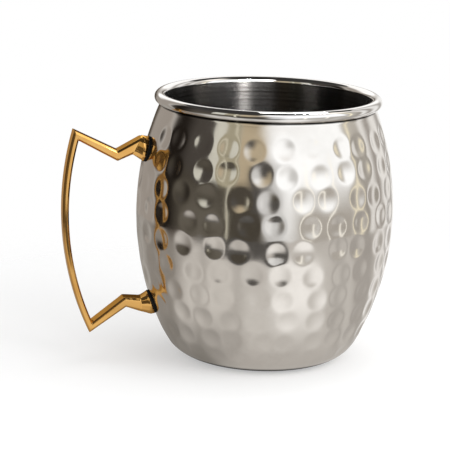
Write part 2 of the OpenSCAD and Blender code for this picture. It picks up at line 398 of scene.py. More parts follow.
def put_in_scene(name: str, data: bpy.types.ID) -> bpy.types.Object:
    """Make an object of a mesh, a lamp or a camera.

    Args:
        name: Name of the object.
        data: What it holds.

    Returns:
        The object, linked to the scene.
    """
    item = bpy.data.objects.new(name, data)
    bpy.context.scene.collection.objects.link(item)
    return item


def skin(name: str, rings: np.ndarray, loop: bool) -> bpy.types.Object:
    """Make a closed piece whose faces join rings of points.

    Args:
        name: Name of the piece.
        rings: Points in millimetres, as rings by points by XYZ.
        loop: True where the last ring joins the first one, and False where both ends are capped.

    Returns:
        The piece, smooth shaded, with a UV map over its rings.
    """
    count, sides = rings.shape[:2]
    rows = count if loop else count - 1
    row, side = np.meshgrid(np.arange(rows), np.arange(sides), indexing="ij")
    here, there = row * sides, (row + 1) % count * sides
    beside = (side + 1) % sides
    quads = np.stack([here + side, here + beside, there + beside, there + side], axis=-1)
    faces = quads.reshape(-1, 4).tolist()
    across = np.stack([side, side + 1, side + 1, side], axis=-1) / sides
    up = np.stack([row, row, row + 1, row + 1], axis=-1) / rows * RINGS_SHARE
    places = [np.stack([across, up], axis=-1).reshape(-1, 2)]
    if not loop:
        faces.append(list(range(sides)))
        faces.append(list(range((count - 1) * sides, count * sides)))
        turn = np.linspace(0, 2 * math.pi, sides, endpoint=False)
        disc = np.stack([np.cos(turn), np.sin(turn)], axis=-1) * CAP_R
        places += [disc + centre for centre in CAP_CENTRES]
    mesh = bpy.data.meshes.new(name)
    mesh.from_pydata((rings.reshape(-1, 3) * MM).tolist(), [], faces)
    layer = mesh.uv_layers.new(name=BAKE_MAP)
    layer.uv.foreach_set("vector", np.concatenate(places).ravel().astype(np.float32))
    work = bmesh.new()
    work.from_mesh(mesh)
    bmesh.ops.recalc_face_normals(work, faces=work.faces)
    work.to_mesh(mesh)
    work.free()
    mesh.shade_smooth()
    return put_in_scene(name, mesh)


def revolved(outline: np.ndarray, sides: int) -> np.ndarray:
    """Turn an outline of (radius, height) points round the mug's axis.

    Args:
        outline: The points, in millimetres.
        sides: Points round each ring.

    Returns:
        Rings by points by XYZ.
    """
    turn = np.linspace(0, 2 * math.pi, sides, endpoint=False)
    radius, height = outline[:, :1], outline[:, 1:]
    return np.stack(
        [radius * np.cos(turn), radius * np.sin(turn), np.repeat(height, sides, axis=1)], axis=-1
    )


def arc(centre: Point, radius: float, start: float, end: float, count: int) -> np.ndarray:
    """Give points along an arc.

    Args:
        centre: Centre of the arc.
        radius: Its radius.
        start: Angle of the first point, in degrees.
        end: Angle of the last point, in degrees.
        count: How many points.

    Returns:
        The points, one in each row.
    """
    turn = np.radians(np.linspace(start, end, count))
    return np.asarray(centre) + radius * np.stack([np.cos(turn), np.sin(turn)], axis=-1)


def along(angle: float) -> np.ndarray:
    """Give the unit vector at an angle in degrees."""
    return np.array([math.cos(math.radians(angle)), math.sin(math.radians(angle))])


def heading(start: np.ndarray, end: np.ndarray) -> float:
    """Give the angle of the way from one point to another, in degrees."""
    return math.degrees(math.atan2(end[1] - start[1], end[0] - start[0]))


def dress(piece: bpy.types.Object, slot: Slot, *materials: bpy.types.Material) -> None:
    """Give a piece its finish.

    Args:
        piece: The piece.
        slot: The record's slot that the finish stands for; it is not used.
        materials: Its materials, in the order of the faces' numbers.
    """
    piece.data.materials.clear()
    for material in materials:
        piece.data.materials.append(material)


@dataclass(frozen=True)
class Barrel:
    """Outline of the mug's side: two bows that meet at the belly, then the corner of the base.

    Its names end in h for a height, d for a diameter, r for a radius, t for a thickness, w for a width,
    z for a height above the table and c for a centre.
    """

    mug_h: float = 100.0
    belly_d: float = 96.4
    belly_z: float = 55.5
    upper_bow_r: float = 104.0
    lower_bow_r: float = 103.0
    base_corner_r: float = 15.5
    shell_t: float = 1.0
    neck_h: float = 0.8
    foot_ring_w: float = 4.0
    rim_roll_r: float = 2.0
    fewest_steps: int = 4

    @property
    def neck_z(self) -> float:
        """Height at which the upper bow ends in the neck."""
        return self.mug_h - 2 * self.rim_roll_r - self.neck_h

    @property
    def neck_r(self) -> float:
        """Outside radius of the neck."""
        return float(self.radius(self.neck_z))

    @property
    def rim_c(self) -> np.ndarray:
        """Centre of the rolled rim's tube."""
        return np.array([self.neck_r, self.mug_h - self.rim_roll_r])

    @property
    def corner_c(self) -> np.ndarray:
        """Centre of the base corner's arc."""
        reach = self.lower_bow_r - self.base_corner_r
        rise = self.belly_z - self.base_corner_r
        out = self.belly_d / 2 - self.lower_bow_r + math.sqrt(reach**2 - rise**2)
        return np.array([out, self.base_corner_r])

    def bow(self, z: np.ndarray) -> np.ndarray:
        """Give the radius of the bow that holds at a height."""
        return np.where(np.asarray(z) > self.belly_z, self.upper_bow_r, self.lower_bow_r)

    def radius(self, z: np.ndarray) -> np.ndarray:
        """Give the outside radius of the side at a height."""
        bow = self.bow(z)
        return self.belly_d / 2 - bow + np.sqrt(bow**2 - (z - self.belly_z) ** 2)

    def lean(self, z: float) -> float:
        """Give how far the side's normal leans up from level at a height, in degrees."""
        return math.degrees(math.asin((z - self.belly_z) / float(self.bow(z))))

    def height_at(self, length: float) -> float:
        """Give the height at a length along the side, counted up from the belly."""
        bow = self.upper_bow_r if length > 0 else self.lower_bow_r
        return self.belly_z + bow * math.sin(length / bow)

    def side(self, inset: float, step: float) -> np.ndarray:
        """Give the outline of the side from the neck down to the foot ring.

        Args:
            inset: How far inside the outer face the outline lies.
            step: About how far apart its points are.

        Returns:
            The points, as (radius, height).
        """
        top = self.lean(self.neck_z)
        upper_c = (self.belly_d / 2 - self.upper_bow_r, self.belly_z)
        lower_c = (self.belly_d / 2 - self.lower_bow_r, self.belly_z)
        turn = heading(np.array(lower_c), self.corner_c)
        stretches = [
            (upper_c, self.upper_bow_r - inset, top, 0.0),
            (lower_c, self.lower_bow_r - inset, 0.0, turn),
            (self.corner_c, self.base_corner_r - inset, turn, -90.0),
        ]
        points = []
        for centre, radius, start, end in stretches:
            count = max(self.fewest_steps, round(radius * math.radians(start - end) / step))
            points.append(arc(centre, radius, start, end, count + 1)[:-1])
        return np.concatenate([*points, [[self.corner_c[0], inset]]])


@dataclass(frozen=True)
class Foot:
    """Where a foot of the handle sits on the barrel.

    Attributes:
        centre: Its centre on the shell, as (distance from the axis, height).
        lean: How far its axis leans up from level, in degrees.
        radius: Radius of its face.
    """

    centre: np.ndarray
    lean: float
    radius: float

    @property
    def spot(self) -> np.ndarray:
        """The centre as a point in space."""
        return np.array([-self.centre[0], 0.0, self.centre[1]])


@dataclass
class HammeredShell:
    """The outer shell with its rows of hammered dents.

    Attributes:
        feet: The handle's feet, under which no dent lies.
        step: Distance between the rings of the mesh's outer face.
        hammer_r: Radius of the hammer's ball.
        dent_pitch: Distance between the rows, along the side.
        dent_start: Distance of the first row from the neck.
        dent_wander: How far a dent strays round the mug, in degrees.
        dent_drift: How far a dent strays up and down.
        wander_turns: Degrees by which the round-the-mug stray turns for each row and each dent.
        drift_turns: The same for the stray up and down.
        foot_clearance: Room between a foot and the middle of a dent.
        lip: How soft the edge of a dent is.
        reach: Distance within which a dent moves the side.
        row_turn: Turn of each row's first dent, in degrees.
    """

    barrel: Barrel
    feet: list[Foot]
    sides: int = 468
    step: float = 0.65
    inner_step: float = 6.0
    neck_rings: int = 4
    hammer_r: float = 18.0
    dent_depth: float = 0.55
    dents_per_row: int = 26
    dent_pitch: float = 9.2
    dent_start: float = 9.0
    dent_wander: float = 1.5
    dent_drift: float = 0.6
    wander_turns: tuple[int, int] = (97, 211)
    drift_turns: tuple[int, int] = (157, 83)
    foot_clearance: float = 4.31
    lip: float = 0.13
    reach: float = 8.0
    row_turn: tuple[int, ...] = (266, 254, 259, 263, 262, 252, 268, 256, 257, 260)

    @staticmethod
    def sway(turns: tuple[int, int], row: int, place: int) -> float:
        """Give the stray of one dent of a row, from -1 to 1."""
        return math.sin(math.radians(turns[0] * row + turns[1] * place))

    def strikes(self) -> Iterator[tuple[np.ndarray, np.ndarray]]:
        """Go through the dents, row by row.

        Yields:
            Each dent's middle on the smooth side, and the side's normal there.
        """
        barrel = self.barrel
        top = barrel.upper_bow_r * math.radians(barrel.lean(barrel.neck_z)) - self.dent_start
        for row, first in enumerate(self.row_turn):
            for i in range(self.dents_per_row):
                wander = self.dent_wander * self.sway(self.wander_turns, row, i)
                drift = self.dent_drift * self.sway(self.drift_turns, row, i)
                turn = first + wander + 360 * i / self.dents_per_row
                z = barrel.height_at(top - self.dent_pitch * row + drift)
                out, rise = along(barrel.lean(z))
                spot = np.array([*(float(barrel.radius(z)) * along(turn)), z])
                rooms = [np.linalg.norm(spot - foot.spot) - foot.radius for foot in self.feet]
                if min(rooms) > self.foot_clearance:
                    yield spot, np.array([*(out * along(turn)), rise])

    def dented(self, rings: np.ndarray) -> np.ndarray:
        """Strike the dents into the rings of the smooth outer face.

        Args:
            rings: Rings by points by XYZ.

        Returns:
            The same rings with the dents in them.
        """
        struck = rings.copy()
        for spot, normal in self.strikes():
            near = np.abs(rings[:, 0, 2] - spot[2]) < self.reach
            offset = rings[near] - spot
            height = offset @ normal
            across = np.linalg.norm(offset - height[..., None] * normal, axis=-1)
            inside = np.minimum(across, self.reach)
            ball = self.hammer_r - self.dent_depth - np.sqrt(self.hammer_r**2 - inside**2)
            cut = self.lip * np.log1p(np.exp((height - ball) / self.lip))
            struck[near] -= np.where(across < self.reach, cut, 0.0)[..., None] * normal
        return struck

    def build(self) -> bpy.types.Object:
        """Make the shell: its dented outer face, its foot ring and its plain inner face.

        Returns:
            The shell, in place of its solid.
        """
        barrel = self.barrel
        rim_z = barrel.rim_c[1]
        ring_r = barrel.corner_c[0] - barrel.foot_ring_w
        neck_z = np.linspace(rim_z, barrel.neck_z, self.neck_rings + 1)[:-1]
        neck = np.array([[barrel.neck_r, z] for z in neck_z])
        outer = np.concatenate([neck, barrel.side(0.0, self.step)])
        inner = barrel.side(barrel.shell_t, self.inner_step)[::-1]
        foot_ring = [[ring_r, 0.0], [ring_r, barrel.shell_t]]
        hidden = np.concatenate([foot_ring, inner, [[inner[-1, 0], rim_z]]])
        rings = [self.dented(revolved(outer, self.sides)), revolved(hidden, self.sides)]
        shell = skin("hammered_shell", np.concatenate(rings), loop=True)
        dress(shell, Slot.SHELL, HAMMERED_STEEL.material())
        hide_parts("outer_shell")
        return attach(shell, BODY)


@dataclass
class Liner:
    """The drawn liner, whose lip is rolled over the shell's neck.

    Attributes:
        taper: Lean of its wall from upright, in degrees.
        corner_r: Radius between its floor and its wall.
        seat_gap: Clearance between the roll and the neck.
        middle_r: Radius of the disc that closes the middle of its floor.
    """

    barrel: Barrel
    sides: int = 360
    thickness: float = 0.6
    taper: float = 1.57
    floor_z: float = 6.6
    corner_r: float = 12.0
    seat_gap: float = 0.05
    middle_r: float = 1.0
    floor_points: int = 12
    corner_points: int = 18
    wall_points: int = 40
    roll_points: int = 40

    def outline(self) -> tuple[np.ndarray, int, int]:
        """Give the liner's outline, from the middle of its floor round the roll and back.

        Returns:
            The points, and the first and last of them on the roll's polished outside.
        """
        rim, roll = self.barrel.rim_c, self.barrel.rim_roll_r
        out = along(-self.taper)
        top = rim - roll * out
        slope = math.tan(math.radians(self.taper))
        floor_r = top[0] - (top[1] - self.floor_z) * slope
        lift = slope - 1 / math.cos(math.radians(self.taper))
        corner = np.array([floor_r + self.corner_r * lift, self.floor_z + self.corner_r])
        floor = np.linspace(self.middle_r, corner[0], self.floor_points)[:-1]
        mouth = -math.degrees(math.acos(self.seat_gap / roll))

        def face(grow: float) -> np.ndarray:
            """Give one face of the cup.

            Args:
                grow: How far outside the inner face it lies.

            Returns:
                Its points, from the floor up to the roll.
            """
            flat = np.stack([floor, np.full_like(floor, self.floor_z - grow)], axis=-1)
            bend = arc(corner, self.corner_r + grow, -90.0, -self.taper, self.corner_points)
            wall = np.linspace(bend[-1], top + grow * out, self.wall_points)[1:-1]
            return np.concatenate([flat, bend, wall])

        inside, outside = face(0.0), face(self.thickness)
        lip = arc(rim, roll, 180.0 - self.taper, mouth, self.roll_points)
        under = arc(rim, roll - self.thickness, mouth, 180.0 - self.taper, self.roll_points // 2)
        points = np.concatenate([inside, lip, under, outside[::-1]])
        return points, len(inside), len(inside) + len(lip)

    def build(self) -> bpy.types.Object:
        """Make the liner, spun inside and polished on the rolled rim.

        Returns:
            The liner, in place of its solid.
        """
        outline, first, last = self.outline()
        liner = skin("rolled_liner", revolved(outline, self.sides), loop=False)
        dress(liner, Slot.LINER, SHADE_DARKENED_SPUN_STEEL.material(), POLISHED_STEEL.material())
        polished = np.zeros(len(liner.data.polygons), np.int32)
        polished[first * self.sides : last * self.sides] = 1
        liner.data.polygons.foreach_set("material_index", polished)
        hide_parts("inner_liner")
        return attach(liner, BODY)


@dataclass
class Handle:
    """The cast brass handle: a bevelled bar with two flared feet, two corners, a dip and a knee.

    Places along the bar are (distance from the mug's axis, height), and the feet's shapes are counted
    from the middle of each foot's face.

    Attributes:
        upper_rim: How far the upper foot's rim stands off its face, at the top and at the bottom.
        upper_join: Where the bar's upper and lower side run into the upper foot.
        lower_rim: The same for the rim of the lower foot.
        lower_join: The same for where the bar runs into the lower foot.
        flat_steps: Places of the section's points across the bar's face, as shares of its flat half.
        edge_step: Place of the point on the bar's narrow side, as a share of its flat half.
        rim_share: Radius of a foot's rim, as a share of its face's.
        ease: How far from a kink its small curve begins.
        ease_limit: The most that such a curve takes of the way to the next ring.
        flat_weight: How far the large faces decide the shading.
    """

    barrel: Barrel
    lower_foot_z: float = 21.1
    upper_foot_drop: float = 20.6
    lower_foot_d: float = 9.2
    upper_foot_d: float = 9.6
    finger_room: float = 27.3
    grip_bow_r: float = 108.0
    grip_bow_rise: float = 9.0
    bar_w: float = 6.6
    bar_t: float = 3.4
    corner_t: float = 2.6
    grip_t: float = 2.3
    bar_bevel: float = 0.7
    bevel_angle: float = 45.0
    edge_r: float = 0.22
    edge_points: int = 4
    flat_steps: tuple[float, ...] = (0.0, 0.45, 0.85)
    edge_step: float = 0.4
    top_corner_rise: float = 5.6
    bottom_corner_drop: float = 8.9
    dip: Point = (10.7, -2.2)
    knee: Point = (10.0, 0.7)
    upper_rim: Point = (2.5, 0.3)
    lower_rim: Point = (0.6, 1.5)
    upper_join: tuple[Point, Point] = ((1.9, 4.6), (5.2, -1.7))
    lower_join: tuple[Point, Point] = ((4.1, 2.1), (4.0, -3.0))
    rim_share: float = 0.96
    gasket_t: float = 0.5
    grip_rings: int = 40
    ease: float = 0.35
    ease_limit: float = 0.4
    ease_rings: int = 5
    flat_weight: int = 90
    lower_foot: Foot = field(init=False)
    upper_foot: Foot = field(init=False)

    def __post_init__(self) -> None:
        """Place the two feet on the barrel."""
        self.lower_foot = self._foot(self.lower_foot_z, self.lower_foot_d)
        self.upper_foot = self._foot(self.barrel.mug_h - self.upper_foot_drop, self.upper_foot_d)

    def _foot(self, z: float, diameter: float) -> Foot:
        """Give the foot that sits at a height."""
        centre = np.array([float(self.barrel.radius(z)), z])
        return Foot(centre, self.barrel.lean(z), diameter / 2)

    def section(self, half_t: float, half_w: float) -> np.ndarray:
        """Give the section of the bevelled bar.

        Args:
            half_t: Half the thickness.
            half_w: Half the width.

        Returns:
            Points round the section, as (thickness, width).
        """
        bevel, slope, soft = self.bar_bevel, self.bevel_angle, self.edge_r
        flat, edge = half_w - bevel, half_t - bevel
        tuck = soft * math.tan(math.radians(slope / 2))
        face = arc((half_t - soft, flat - tuck), soft, 0.0, slope, self.edge_points)
        rim = arc((edge - tuck, half_w - soft), soft, slope, 90.0, self.edge_points)
        steps = [[half_t, flat * share] for share in self.flat_steps]
        middle = (face[-1] + rim[0]) / 2
        quarter = np.concatenate([steps, face, [middle], rim, [[edge * self.edge_step, half_w]]])
        mirrored = quarter[1:][::-1] * (-1, 1)
        half = np.concatenate([quarter, [[0.0, half_w]], mirrored])
        return np.concatenate([half, [[-half_t, 0.0]], half[1:][::-1] * (1, -1)])

    def disc(self, radius: float) -> np.ndarray:
        """Give a round section.

        Args:
            radius: Its radius.

        Returns:
            Points that pair off with those of the bar's section.
        """
        bar = self.section(self.bar_t / 2, self.bar_w / 2)
        turn = np.arctan2(bar[:, 1] / self.bar_w, bar[:, 0] / self.bar_t)
        return radius * np.stack([np.cos(turn), np.sin(turn)], axis=-1)

    @staticmethod
    def ring(centre: np.ndarray, angle: float, section: np.ndarray, stretch: float = 1.0) -> np.ndarray:
        """Stand a section across the bar's way.

        Args:
            centre: Middle of the bar.
            angle: Heading of the bar there, in degrees.
            section: The section's points.
            stretch: How far a slanted cut draws the section out.

        Returns:
            The ring's points in space.
        """
        flat = centre + stretch * section[:, :1] * along(angle + 90.0)
        return np.stack([-flat[:, 0], section[:, 1], flat[:, 1]], axis=-1)

    def span(self, ends: tuple[np.ndarray, np.ndarray], section: np.ndarray) -> np.ndarray:
        """Stand a section between two points of the handle's outline.

        Args:
            ends: The points on the bar's right and on its left, along its way.
            section: The section's points.

        Returns:
            The ring's points in space.
        """
        first, last = ends
        stretch = np.linalg.norm(last - first) / np.ptp(section[:, 0])
        return self.ring((first + last) / 2, heading(first, last) - 90.0, section, stretch)

    def foot_rings(self, foot: Foot, rim: Point, join: tuple[Point, Point]) -> list[np.ndarray]:
        """Give the rings of a foot, in the bar's order.

        Args:
            foot: The foot.
            rim: How far its rim stands off its face, at the top and at the bottom.
            join: Where the bar's upper and lower side run into the foot.

        Returns:
            The rings of its face, its rim and the bar's end, the other way round at the upper foot.
        """
        root = self.root(foot)
        out, up = along(foot.lean), along(foot.lean + 90.0)
        rim_r = foot.radius * self.rim_share
        face = (root - foot.radius * up, root + foot.radius * up)
        edge = (root + rim[1] * out - rim_r * up, root + rim[0] * out + rim_r * up)
        bar = (root + join[1], root + join[0])
        rings = [(face, self.disc(foot.radius)), (edge, self.disc(rim_r))]
        rings.append((bar, self.section(self.bar_t / 2, self.bar_w / 2)))
        way = slice(None) if foot is self.lower_foot else slice(None, None, -1)
        return [self.span(ends[way], section) for ends, section in rings][way]

    def root(self, foot: Foot) -> np.ndarray:
        """Give the middle of a foot's face, on its gasket."""
        return foot.centre + self.gasket_t * along(foot.lean)

    def mitre(self, centre: np.ndarray, before: float, after: float, thickness: float) -> np.ndarray:
        """Give the ring in which two stretches of the bar meet.

        Args:
            centre: Middle of the bar there.
            before: Heading of the stretch that ends there, in degrees.
            after: Heading of the stretch that begins there.
            thickness: Thickness of the bar.

        Returns:
            The ring's points in space.
        """
        half_turn = (after - before) / 2
        section = self.section(thickness / 2, self.bar_w / 2)
        return self.ring(centre, before + half_turn, section, 1 / math.cos(math.radians(half_turn)))

    def grip(self, centre: np.ndarray, start: float, end: float) -> list[np.ndarray]:
        """Give the rings of the bowed grip, which is thinnest in its middle.

        Args:
            centre: Centre of its bow.
            start: Angle at which the bow begins, in degrees.
            end: Angle at which it ends.

        Returns:
            The rings between the two corners.
        """
        rings = []
        for f in np.linspace(0.0, 1.0, self.grip_rings + 2)[1:-1]:
            angle = start + (end - start) * f
            half_t = self.corner_t / 2 + (self.grip_t - self.corner_t) / 2 * math.sin(math.pi * f)
            section = self.section(half_t, self.bar_w / 2)
            rings.append(self.ring(centre + self.grip_bow_r * along(angle), angle + 90.0, section))
        return rings

    def eased(self, rings: list[np.ndarray]) -> np.ndarray:
        """Round the kink at every ring between the first and the last.

        Args:
            rings: The rings, in the bar's order.

        Returns:
            More rings, which turn each kink in a small curve.
        """
        path = [rings[0]]
        for before, here, after in zip(rings, rings[1:], rings[2:]):
            ends = []
            for other in (before, after):
                step = other - here
                length = np.linalg.norm(step, axis=-1, keepdims=True)
                ends.append(here + step * np.minimum(self.ease_limit, self.ease / length))
            for t in np.linspace(0.0, 1.0, self.ease_rings):
                path.append((1 - t) ** 2 * ends[0] + 2 * t * (1 - t) * here + t * t * ends[1])
        return np.array([*path, rings[-1]])

    def build(self) -> bpy.types.Object:
        """Make the handle from its lower foot round to its upper one.

        Returns:
            The handle, in place of its solid.
        """
        lower, upper = self.lower_foot, self.upper_foot
        lower_root, upper_root = self.root(lower), self.root(upper)
        knee, dip = lower_root + self.knee, upper_root + self.dip
        top_z = upper.centre[1] + self.top_corner_rise
        bottom_z = lower.centre[1] - self.bottom_corner_drop
        bow_x = self.barrel.belly_d / 2 + self.finger_room - self.grip_bow_r
        bow_c = np.array([bow_x, (top_z + bottom_z) / 2 + self.grip_bow_rise])
        top = math.degrees(math.asin((top_z - bow_c[1]) / self.grip_bow_r))
        bottom = math.degrees(math.asin((bottom_z - bow_c[1]) / self.grip_bow_r))
        top_c, bottom_c = (bow_c + self.grip_bow_r * along(a) for a in (top, bottom))
        knee_in = heading(lower_root + np.mean(self.lower_join, axis=0), knee)
        knee_out = heading(knee, bottom_c)
        # The bar's heading keeps growing round the top corner, so a whole turn is added.
        dip_in = heading(top_c, dip) + 360.0
        dip_out = heading(dip, upper_root + np.mean(self.upper_join, axis=0))
        rings = [
            *self.foot_rings(lower, self.lower_rim, self.lower_join),
            self.mitre(knee, knee_in, knee_out, self.bar_t),
            self.mitre(bottom_c, knee_out, bottom + 90.0, self.corner_t),
            *self.grip(bow_c, bottom, top),
            self.mitre(top_c, top + 90.0, dip_in, self.corner_t),
            self.mitre(dip, dip_in, dip_out, self.bar_t),
            *self.foot_rings(upper, self.upper_rim, self.upper_join),
        ]
        handle = skin("brass_handle", self.eased(rings), loop=False)
        flats = handle.modifiers.new("flat_faces", "WEIGHTED_NORMAL")
        flats.weight = self.flat_weight
        dress(handle, Slot.BRASS, POLISHED_BRASS.material())
        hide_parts("handle")
        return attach(handle, BODY)


@dataclass
class Fixings:
    """The solids that stay as packed: the gaskets, washers, screws and the base plate."""

    def dress(self) -> list[bpy.types.Object]:
        """Give each of them its finish.

        Returns:
            The solids.
        """
        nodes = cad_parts
        rubber, zinc, spun = Rubber().material(), ZINC_STEEL.material(), SHADE_DARKENED_SPUN_STEEL.material()
        # The base plate takes the spun steel with its painted shade.
        finishes = [(nodes["base_plate"], Slot.LINER, spun)]
        for end in ("upper", "lower"):
            finishes.append((nodes[f"{end}_gasket"], Slot.RUBBER, rubber))
            finishes.append((nodes[f"{end}_washer"], Slot.FIXING, zinc))
            finishes.append((nodes[f"{end}_screw"], Slot.FIXING, zinc))
        for node, slot, material in finishes:
            dress(node, slot, material)
        return [node for node, _, _ in finishes]


@dataclass(frozen=True)
class PhotoCamera:
    """The camera, at the photograph's viewing angle.

    Attributes:
        azimuth: Turn of the camera round the mug, in degrees; the handle points along -X.
        elevation: Height of the camera above level, in degrees.
        roll: Turn of the camera about its own line of sight, in degrees.
        distance: Distance to the point that it is set up on.
        aim_z: Height of that point on the mug's axis.
        focal_px: Focal length in pixels of the image.
        image_px: Side of the image in pixels.
        axis_px: Pixel at which that point shows.
        sensor: Width of the sensor.
    """

    azimuth: float = -13.0
    elevation: float = 12.9
    roll: float = 2.0
    distance: float = 800.0
    aim_z: float = 50.0
    focal_px: float = 2123.0
    image_px: float = 450.0
    axis_px: Point = (264.0, 224.3)
    sensor: float = 36.0

    @property
    def right(self) -> Vector:
        """Level direction to the image's right."""
        turn = math.radians(self.azimuth)
        return Vector((math.cos(turn), math.sin(turn), 0.0))

    @property
    def front(self) -> Vector:
        """Level direction from the mug towards the camera."""
        turn = math.radians(self.azimuth)
        return Vector((math.sin(turn), -math.cos(turn), 0.0))

    def point(self, right: float, front: float, up: float) -> Vector:
        """Give a place in metres from its millimetres to the right, to the front and up."""
        return (self.right * right + self.front * front + Vector((0.0, 0.0, up))) * MM

    def build(self) -> bpy.types.Object:
        """Make the camera and set it as the scene's.

        Returns:
            The camera.
        """
        rise = math.radians(self.elevation)
        back = self.front * math.cos(rise) + Vector((0.0, 0.0, math.sin(rise)))
        axes = Matrix((self.right, back.cross(self.right), back)).transposed()
        half = self.image_px / 2
        yaw = math.atan((self.axis_px[0] - half) / self.focal_px)
        pitch = math.atan((self.axis_px[1] - half) / self.focal_px)
        turns = [(math.radians(self.roll), "Z"), (yaw, "Y"), (pitch, "X")]
        for angle, axis in turns:
            axes = axes @ Matrix.Rotation(angle, 3, axis)
        data = bpy.data.cameras.new("photo_camera")
        data.sensor_width = self.sensor
        data.lens = self.focal_px / self.image_px * self.sensor
        camera = put_in_scene("photo_camera", data)
        camera.matrix_world = axes.to_4x4()
        camera.location = Vector((0.0, 0.0, self.aim_z * MM)) + back * self.distance * MM
        bpy.context.scene.camera = camera
        return camera


@dataclass(frozen=True)
class Panel:
    """A patch of tone on a backdrop.

    Attributes:
        start: Azimuth of its left edge, in degrees to the right of the camera's side.
        end: Azimuth of its right edge.
        tone: Its colour.
        blur: Half the width of its soft left and right edge, in degrees.
        low: Its lower edge, as a height on a wall or a radius on a level backdrop.
        high: Its upper edge.
        fade: Half the width of its soft lower and upper edge.
    """

    start: float
    end: float
    tone: Colour
    blur: Point
    low: float = UNDER
    high: float = OVER
    fade: float = 8.0

    def share(self, azimuth: Value, place: Value) -> Value:
        """Give how far the panel covers a point of the backdrop.

        Args:
            azimuth: The point's azimuth.
            place: Its height or radius.

        Returns:
            The share, from 0 to 1.
        """
        left, right = self.blur
        across = azimuth.eased(self.start - left, self.start + left)
        across = across - azimuth.eased(self.end - right, self.end + right)
        up = place.eased(self.low - self.fade, self.low + self.fade)
        return across * (up - place.eased(self.high - self.fade, self.high + self.fade))

    def across_back(self) -> tuple["Panel", "Panel"]:
        """Give the two halves of a panel that runs over the seam at the back."""
        return replace(self, end=PAST_RIGHT), replace(self, start=PAST_LEFT)


@dataclass(frozen=True)
class Backdrop:
    """A round backdrop that only mirrored rays see.

    Attributes:
        name: Name of the backdrop.
        outline: Its outline, as (radius, height) from one edge to the other.
        measure: What a panel's lower and upper edge are counted in.
        tone: Its colour where no panel covers it.
        panels: Its panels, each laid over the ones before it.
        sides: Faces round the mesh.
        rows: Faces along the outline.
    """

    name: str
    outline: tuple[Point, Point]
    measure: Measure
    tone: Colour
    panels: tuple[Panel, ...]
    sides: int = 180
    rows: int = 12

    def material(self) -> bpy.types.Material:
        """Make the glowing material that carries the panels.

        Returns:
            The material.
        """
        material, graph = new_material(self.name)
        spot = graph.add("ShaderNodeUVMap", {"uv_map": self.name})
        azimuth, place = (graph.add("ShaderNodeSeparateXYZ", None, {0: spot}, axis) for axis in "XY")
        colour = self.tone
        for panel in self.panels:
            colour = graph.mix(colour, panel.tone, panel.share(azimuth, place))
        graph.surface({
            "Base Color": (0.0, 0.0, 0.0, 1.0),
            "Specular IOR Level": 0.0,
            "Roughness": 1.0,
            "Emission Color": colour,
            "Emission Strength": 1.0,
        })
        return material

    def build(self, camera: PhotoCamera) -> bpy.types.Object:
        """Make the backdrop and hide it from all but mirrored rays.

        Args:
            camera: The camera, from whose side the azimuth is counted.

        Returns:
            The backdrop.
        """
        outline = np.linspace(*self.outline, self.rows + 1)
        turns = np.linspace(-180.0, 180.0, self.sides + 1)
        points, spots = [], []
        for radius, height in outline:
            for turn in turns:
                front, right = radius * along(turn)
                points.append(camera.point(right, front, height))
                spots.append((turn, height if self.measure is Measure.HEIGHT else radius))
        wide = self.sides + 1
        starts = [row * wide + side for row in range(self.rows) for side in range(self.sides)]
        faces = [(i, i + 1, i + wide + 1, i + wide) for i in starts]
        mesh = bpy.data.meshes.new(self.name)
        mesh.from_pydata(points, [], faces)
        layer = mesh.uv_layers.new(name=self.name)
        layer.uv.foreach_set("vector", np.array(spots, np.float32)[np.array(faces).ravel()].ravel())
        mesh.materials.append(self.material())
        backdrop = put_in_scene(self.name, mesh)
        backdrop.visible_camera = False
        backdrop.visible_diffuse = False
        backdrop.visible_shadow = False
        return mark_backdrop(backdrop)


@dataclass(frozen=True)
class Lamp:
    """A soft rectangular lamp.

    Attributes:
        name: Name of the lamp.
        place: Its middle, as (right, front, up).
        aim: The point that it faces.
        size: Its width and height.
        power: Its power in watts.
        mirrored: True where the metal shows the lamp itself.
    """

    name: str
    place: Place
    aim: Place
    size: Point
    power: float
    mirrored: bool = False

    def build(self, camera: PhotoCamera) -> bpy.types.Object:
        """Make the lamp.

        Args:
            camera: The camera, whose directions place the lamp.

        Returns:
            The lamp.
        """
        data = bpy.data.lights.new(self.name, "AREA")
        data.shape = "RECTANGLE"
        data.size, data.size_y = (side * MM for side in self.size)
        data.energy = self.power
        lamp = put_in_scene(self.name, data)
        place = camera.point(*self.place)
        facing = (camera.point(*self.aim) - place).to_track_quat("-Z", "Y")
        lamp.matrix_world = Matrix.Translation(place) @ facing.to_matrix().to_4x4()
        lamp.visible_camera = False
        lamp.visible_glossy = self.mirrored
        return lamp


# The room that the metal mirrors, and where its ground and its roof begin.
ROOM_R, ROOM_H = 260.0, 420.0
GROUND_R, GROUND_Z = 20.0, 0.05
ROOF_R = 0.5

CREAM_LINE = (1.5, 1.47, 1.36)
LAMP_WHITE = (1.5, 1.45, 1.35)
GAP_DARK = (0.11, 0.104, 0.097)

